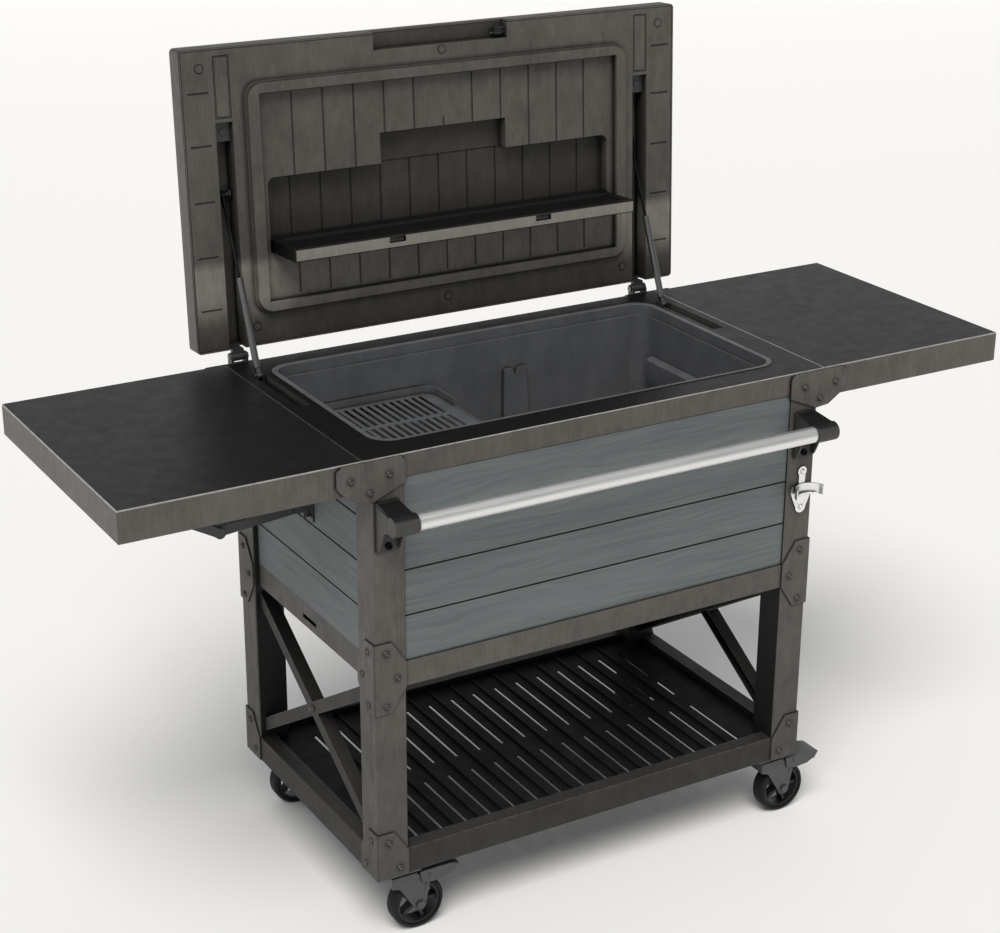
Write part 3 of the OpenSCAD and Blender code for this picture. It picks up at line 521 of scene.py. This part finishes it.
class CART_OT_tops(bpy.types.Operator):
    """Finishes the worktop and both leaves."""

    bl_idname = "cooler_cart.tops"
    bl_label = "Worktop and leaves"

    def execute(self, context):
        colours = context.scene.cart_colours
        sizes = context.scene.cart_sizes
        sides = (colours.coat_dark, colours.coat)
        top_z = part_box("leaf_l")[1].z
        front_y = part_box("deck")[0].y
        # textured satin powder coat on the leaves: near black on top, brushed brown-grey apron
        coat = satin_top("Satin worktop coat", (colours.top, "#19191a"), sides)
        # a painted highlight along the rolled rim draws a thin bright line round each leaf
        edge = rolled_edge("Rolled worktop edge", colours.coat_dark, top_z)
        # the deck's rim has the painted highlight along the front only, and is black round the tub
        rim = rolled_edge("Rolled front edge", "#1c1c1c", top_z, front_y + 0.004)
        # the same powder coat round the tub, darker still as painted shade, as the photograph shows it before
        # the open lid
        dark = satin_top("Satin coat round the tub in painted shade", ("#070708", "#0e0e0f"), sides)
        dress("deck", dark, rim, sizes.top_edge)
        for name in ("leaf_l", "leaf_r"):
            dress(name, coat, edge, sizes.leaf_edge, flat=True, joined=THIN_STEP)
        return {"FINISHED"}


class CART_OT_boards(bpy.types.Operator):
    """Finishes the wood-grain boards round the tub."""

    bl_idname = "cooler_cart.boards"
    bl_label = "Boards"

    def execute(self, context):
        colours = context.scene.cart_colours
        # boards above each other in a panel
        boards = 4
        low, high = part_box("panel_front")
        pitch = (low.z, (high.z - low.z) / boards)
        # resin board moulded with a wood grain: blue-grey with faint streaks along each board
        front = grained_board("Wood-grain resin lengthwise", colours.board, colours.board_dark, "x", pitch)
        side = grained_board("Wood-grain resin crosswise", colours.board, colours.board_dark, "y", pitch)
        for name in ("panel_front", "panel_rear"):
            dress(name, front)
        dress("panel_sides", side)
        return {"FINISHED"}


class CART_OT_tub(bpy.types.Operator):
    """Finishes tub, tray and drain."""

    bl_idname = "cooler_cart.tub"
    bl_label = "Tub and tray"

    def execute(self, context):
        colours = context.scene.cart_colours
        sizes = context.scene.cart_sizes
        # injection-moulded polypropylene: even blue-grey with a soft sheen and a fine grit
        resin = moulded_resin("Moulded grey resin", colours.resin, "#515356", 0.46)
        # the same in black and duller for the outer tub
        dark = moulded_resin("Moulded black resin tub", "#262627", "#1b1b1c", 0.55)
        dress("tub_liner", resin, None, THICK_ROUND, 3)
        dress("tub_rests", resin, None, BLOCK_ROUND)
        dress("tray", resin)
        dress("tub_shell", dark, None, sizes.resin_round)
        dress("drain_plug", dark)
        return {"FINISHED"}


def lid_face():
    """Direction into the open lid, and the place of its lining along that direction in metres."""
    tilt = math.radians(LID_ANGLE - 90.0)
    inward = (0.0, math.cos(tilt), -math.sin(tilt))
    face = LID_AXIS[0] * inward[1] + LID_AXIS[1] * inward[2] - LID_AXIS_DEPTH
    return inward, face


class CART_OT_lid(bpy.types.Operator):
    """Finishes the lid with its shelf, latch, struts and hinges."""

    bl_idname = "cooler_cart.lid"
    bl_label = "Lid"

    def execute(self, context):
        colours = context.scene.cart_colours
        sizes = context.scene.cart_sizes
        sides = (colours.coat_dark, colours.coat)
        shelf_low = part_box("lid_shelf")[0]
        # textured satin powder coat on the lid's outer skin, brushed coat on its narrow sides, and painted
        # shade that makes the upward ones nearly satin black
        shell = satin_top("Satin lid coat", (colours.top, "#19191a"), sides, back=True)
        # painted shade along the lid's edges, drawn as thin dark lines
        edge = mottled_edge("Shaded lid edge", "#242322", "#343230")
        # brushed coat on the moulded lining, with painted shade in pockets, slots and low down, and painted
        # light that makes it paler under the shelf
        inner = brushed_coat(
            "Brushed lid lining",
            "#5d5a55",
            "#474541",
            0.009,
            (0.97, 1.03, 0.55),
            sunk=(*lid_face(), shelf_low.z),
            seam_shade=(0.5, 0.08),
            light_band=(1.01, shelf_low.z, ("#6e6b66", "#8c8882")),
        )
        # satin black on the shelf, with the brushed coat on its front strip only
        shelf = satin_top(
            "Satin shelf coat", ("#060606", "#0a0a0a"), ("#74716b", "#8a8781"), front=shelf_low.y + 0.001
        )
        shelf_edge = mottled_edge("Black shelf edge", "#0b0b0b", "#1d1c1b")
        # painted shadow as a black line round each plug, and moulded black resin for the latch
        rim = moulded_resin("Painted shadow round a plug", "#0c0c0c", "#090909", 0.6)
        black = moulded_resin("Moulded black resin fittings", "#262628", "#1a1a1b", 0.45)
        # black powder-coated steel of the hinges: dull, with a slight unevenness
        steel = plain_metal("Black coated steel", ("#2a2b2d", "#3a3b3d"), 0.42, strength=0.3, coated=True)
        # zinc-plated steel of the pins: greyish and half bright
        zinc = plain_metal("Plated steel pins", ("#8c8c8a", "#6f6f6d"), 0.35)
        # blackened and burnished steel of the struts, with drawing marks along them
        drawn = (1.0, 30.0, 1.0)
        rod = plain_metal("Blackened piston rod", ("#2a2b2c", "#3a3b3c"), 0.25, drawn)
        tube = plain_metal("Burnished strut tube", ("#6e6e6e", "#7c7c7c"), 0.3, drawn)
        dress("lid_shell", shell, edge, sizes.sheet_round)
        dress("lid_liner", inner, None, sizes.resin_round, flat=True)
        dress("lid_shelf", shelf, shelf_edge)
        dress("lid_plugs", inner, rim, THICK_ROUND)
        dress("lid_latch", black, None, PRESSED_ROUND)
        for name in ("lid_arms", "strut_heads", "lid_hinge_brackets", "strut_feet", "leaf_hinge_plates"):
            dress(name, steel, None, PRESSED_ROUND)
        for name in ("hinge_pins", "shelf_pins"):
            dress(name, zinc, None, TURNED_ROUND)
        for side in "lr":
            dress("strut_tube_" + side, tube)
            dress("strut_rod_" + side, rod, None, TURNED_ROUND)
        return {"FINISHED"}


class CART_OT_handle(bpy.types.Operator):
    """Finishes the towel handle, its brackets, the opener and the bolts."""

    bl_idname = "cooler_cart.handle"
    bl_label = "Handle and opener"

    def execute(self, context):
        opener_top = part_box("bottle_opener")[1].z
        # brushed and anodised aluminium tube: bright, with fine marks along it
        bar = plain_metal("Brushed aluminium", ("#f0f0f0", "#e4e4e4"), 0.42, (120.0, 1.2, 1.2), 0.1)
        # powder-coated zinc casting: near black on top, dark grey on its sides
        black = satin_top("Cast bracket coat", ("#101011", "#19191a"), ("#383736", "#454443"))
        # polished stainless steel of the opener and its screws, bright with soft reflections
        bright = plain_metal("Polished steel", ("#f8f8f6", "#eeeeec"), 0.26)
        # the same on the screws up to the opener's top, and black on those of the brackets above it
        screw = plain_metal("Polished and black screws", ("#f8f8f6", "#eeeeec"), 0.26, black_above=opener_top)
        # dark plated round heads, with painted shade as a black line where they meet the plate
        bolt = plain_metal("Dark plated bolts", ("#423f3c", "#524f4b"), 0.45, strength=0.3, coated=True)
        ring = moulded_resin("Painted shade under a bolt head", "#131312", "#0d0d0d", 0.6)
        dress("handle_bar", bar, None, TURNED_ROUND)
        dress("handle_brackets", black, None, THICK_ROUND, 3, True)
        dress("bottle_opener", bright, None, PRESSED_ROUND)
        dress("front_screws", screw, None, SCREW_ROUND)
        dress("plate_bolts", bolt, ring, BLOCK_ROUND)
        return {"FINISHED"}


class CART_OT_base(bpy.types.Operator):
    """Finishes the base rack, the stays and the casters."""

    bl_idname = "cooler_cart.base"
    bl_label = "Base, stays and casters"

    def execute(self, context):
        # moulded black polypropylene: dull and very dark
        rack = moulded_resin("Moulded black resin rack", "#151515", "#0e0e0e", 0.6, gloss=0.12)
        # black powder-coated pressed steel of casters and stays: a shade greyer than resin
        steel = plain_metal(
            "Black coated caster steel", ("#3a3b3d", "#4a4b4e"), 0.4, strength=0.3, coated=True
        )
        # moulded black polypropylene wheel in a matt black rubber tyre
        wheel = moulded_resin("Moulded black resin wheel", "#2c2d2f", "#1f2022", 0.4)
        rubber = moulded_resin("Rubber tyre", "#111112", "#0b0b0c", 0.7)
        dress("base_rack", rack, None, BLOCK_ROUND)
        for name in ("stay_brackets", "stay_low_l", "stay_low_r", "stay_up_l", "stay_up_r", "caster_plates"):
            dress(name, steel, None, PRESSED_ROUND)
        for corner in ("fl", "fr", "rl", "rr"):
            dress("fork_" + corner, steel)
            dress("wheel_" + corner, wheel)
            dress("tyre_" + corner, rubber, None, THICK_ROUND)
        for corner in ("fl", "fr"):
            dress("pedal_" + corner, steel, joined=THIN_STEP)
        return {"FINISHED"}


def soft_light(name, place, target, size, power, colour):
    """A large area light at a place, aimed at a target."""
    data = bpy.data.lights.new(name, "AREA")
    data.shape = "RECTANGLE"
    data.size = size[0]
    data.size_y = size[1]
    data.energy = power
    data.color = linear(colour)[:3]
    light = bpy.data.objects.new(name, data)
    light.location = place
    light.rotation_mode = "QUATERNION"
    light.rotation_quaternion = (Vector(target) - Vector(place)).to_track_quat("-Z", "Y")
    bpy.context.scene.collection.objects.link(light)


def make_camera():
    """The camera at the photograph's place, angle and lens."""
    azimuth = math.radians(-30.53)
    elevation = math.radians(21.69)
    roll = math.radians(0.315)
    focal_pixels = 2100.3
    frame_pixels = 1000.0
    sensor = 36.0
    place = (-1.9137, -3.1552, 2.2073)
    back = Vector(
        (
            math.sin(azimuth) * math.cos(elevation),
            -math.cos(azimuth) * math.cos(elevation),
            math.sin(elevation),
        )
    )
    side = Vector((0.0, 0.0, 1.0)).cross(back).normalized()
    over = back.cross(side)
    right = side * math.cos(roll) + over * math.sin(roll)
    up = over * math.cos(roll) - side * math.sin(roll)
    data = bpy.data.cameras.new("Camera")
    data.sensor_fit = "HORIZONTAL"
    data.sensor_width = sensor
    data.lens = focal_pixels / frame_pixels * sensor
    data.clip_start = 0.1
    data.clip_end = 60.0
    camera = bpy.data.objects.new("Camera", data)
    turned = Matrix((right, up, back)).transposed().to_4x4()
    turned.translation = Vector(place)
    camera.matrix_world = turned
    bpy.context.scene.collection.objects.link(camera)
    bpy.context.scene.camera = camera


class CART_OT_studio(bpy.types.Operator):
    """Builds the pale floor, the soft light and the camera."""

    bl_idname = "cooler_cart.studio"
    bl_label = "Studio"

    def execute(self, context):
        settings = context.scene.cart_studio
        mesh = bpy.data.meshes.new("Studio floor")
        builder = bmesh.new()
        bmesh.ops.create_grid(builder, x_segments=1, y_segments=1, size=FLOOR_REACH)
        builder.to_mesh(mesh)
        builder.free()
        floor = bpy.data.objects.new("Studio floor", mesh)
        context.scene.collection.objects.link(floor)
        # matt painted floor: pale and even, so only soft shadows show on it
        material, tree, shader = start_material("Pale studio floor")
        shader.inputs["Base Color"].default_value = linear("#f6f6f6")
        shader.inputs["Roughness"].default_value = 0.9
        mesh.materials.append(material)
        world = bpy.data.worlds.new("Studio")
        context.scene.world = world
        world.use_nodes = True
        background = world.node_tree.nodes["Background"]
        background.inputs["Color"].default_value = linear("#ffffff")
        background.inputs["Strength"].default_value = settings.world
        data = bpy.data.lights.new("Overhead light", "SUN")
        data.energy = settings.overhead
        data.angle = math.radians(35)
        data.color = linear("#fffcf7")[:3]
        sun = bpy.data.objects.new("Overhead light", data)
        sun.rotation_mode = "QUATERNION"
        sun.rotation_quaternion = Vector((0.35, 0.52, -1.0)).to_track_quat("-Z", "Y")
        context.scene.collection.objects.link(sun)
        soft_light(
            "Back light", (5.0, 11.5, 3.2), (0.0, 0.0, 1.5), (16.0, 4.0), settings.back_power, "#ffffff"
        )
        soft_light(
            "Side light", (-5.0, -1.2, 2.4), (0.0, 0.0, 0.8), (2.5, 2.5), settings.side_power, "#f2f6ff"
        )
        context.scene.view_settings.view_transform = "Standard"
        make_camera()
        return {"FINISHED"}


STEPS = [
    CART_OT_frame,
    CART_OT_tops,
    CART_OT_boards,
    CART_OT_tub,
    CART_OT_lid,
    CART_OT_handle,
    CART_OT_base,
    CART_OT_studio,
]


class CART_PT_panel(bpy.types.Panel):
    """Lists the steps that dress the cart."""

    bl_idname = "CART_PT_panel"
    bl_label = "Cooler Cart"
    bl_space_type = "VIEW_3D"
    bl_region_type = "UI"
    bl_category = "Cooler Cart"

    def draw(self, context):
        for step in STEPS:
            self.layout.operator(step.bl_idname)
        for name in ("sheet_round", "resin_round", "top_edge", "leaf_edge"):
            self.layout.prop(context.scene.cart_sizes, name)
        for name in ("coat", "coat_dark", "top", "board", "board_dark", "resin"):
            self.layout.prop(context.scene.cart_colours, name)
        for name in ("overhead", "side_power", "world", "back_power"):
            self.layout.prop(context.scene.cart_studio, name)


CLASSES = [CartSizes, CartColours, StudioSettings, *STEPS, CART_PT_panel]


def register():
    for kind in CLASSES:
        bpy.utils.register_class(kind)
    bpy.types.Scene.cart_sizes = bpy.props.PointerProperty(type=CartSizes)
    bpy.types.Scene.cart_colours = bpy.props.PointerProperty(type=CartColours)
    bpy.types.Scene.cart_studio = bpy.props.PointerProperty(type=StudioSettings)


def unregister():
    del bpy.types.Scene.cart_studio
    del bpy.types.Scene.cart_colours
    del bpy.types.Scene.cart_sizes
    for kind in reversed(CLASSES):
        bpy.utils.unregister_class(kind)


def main():
    register()
    bpy.ops.cooler_cart.frame()
    bpy.ops.cooler_cart.tops()
    bpy.ops.cooler_cart.boards()
    bpy.ops.cooler_cart.tub()
    bpy.ops.cooler_cart.lid()
    bpy.ops.cooler_cart.handle()
    bpy.ops.cooler_cart.base()
    bpy.ops.cooler_cart.studio()


if __name__ == "__main__":
    main()
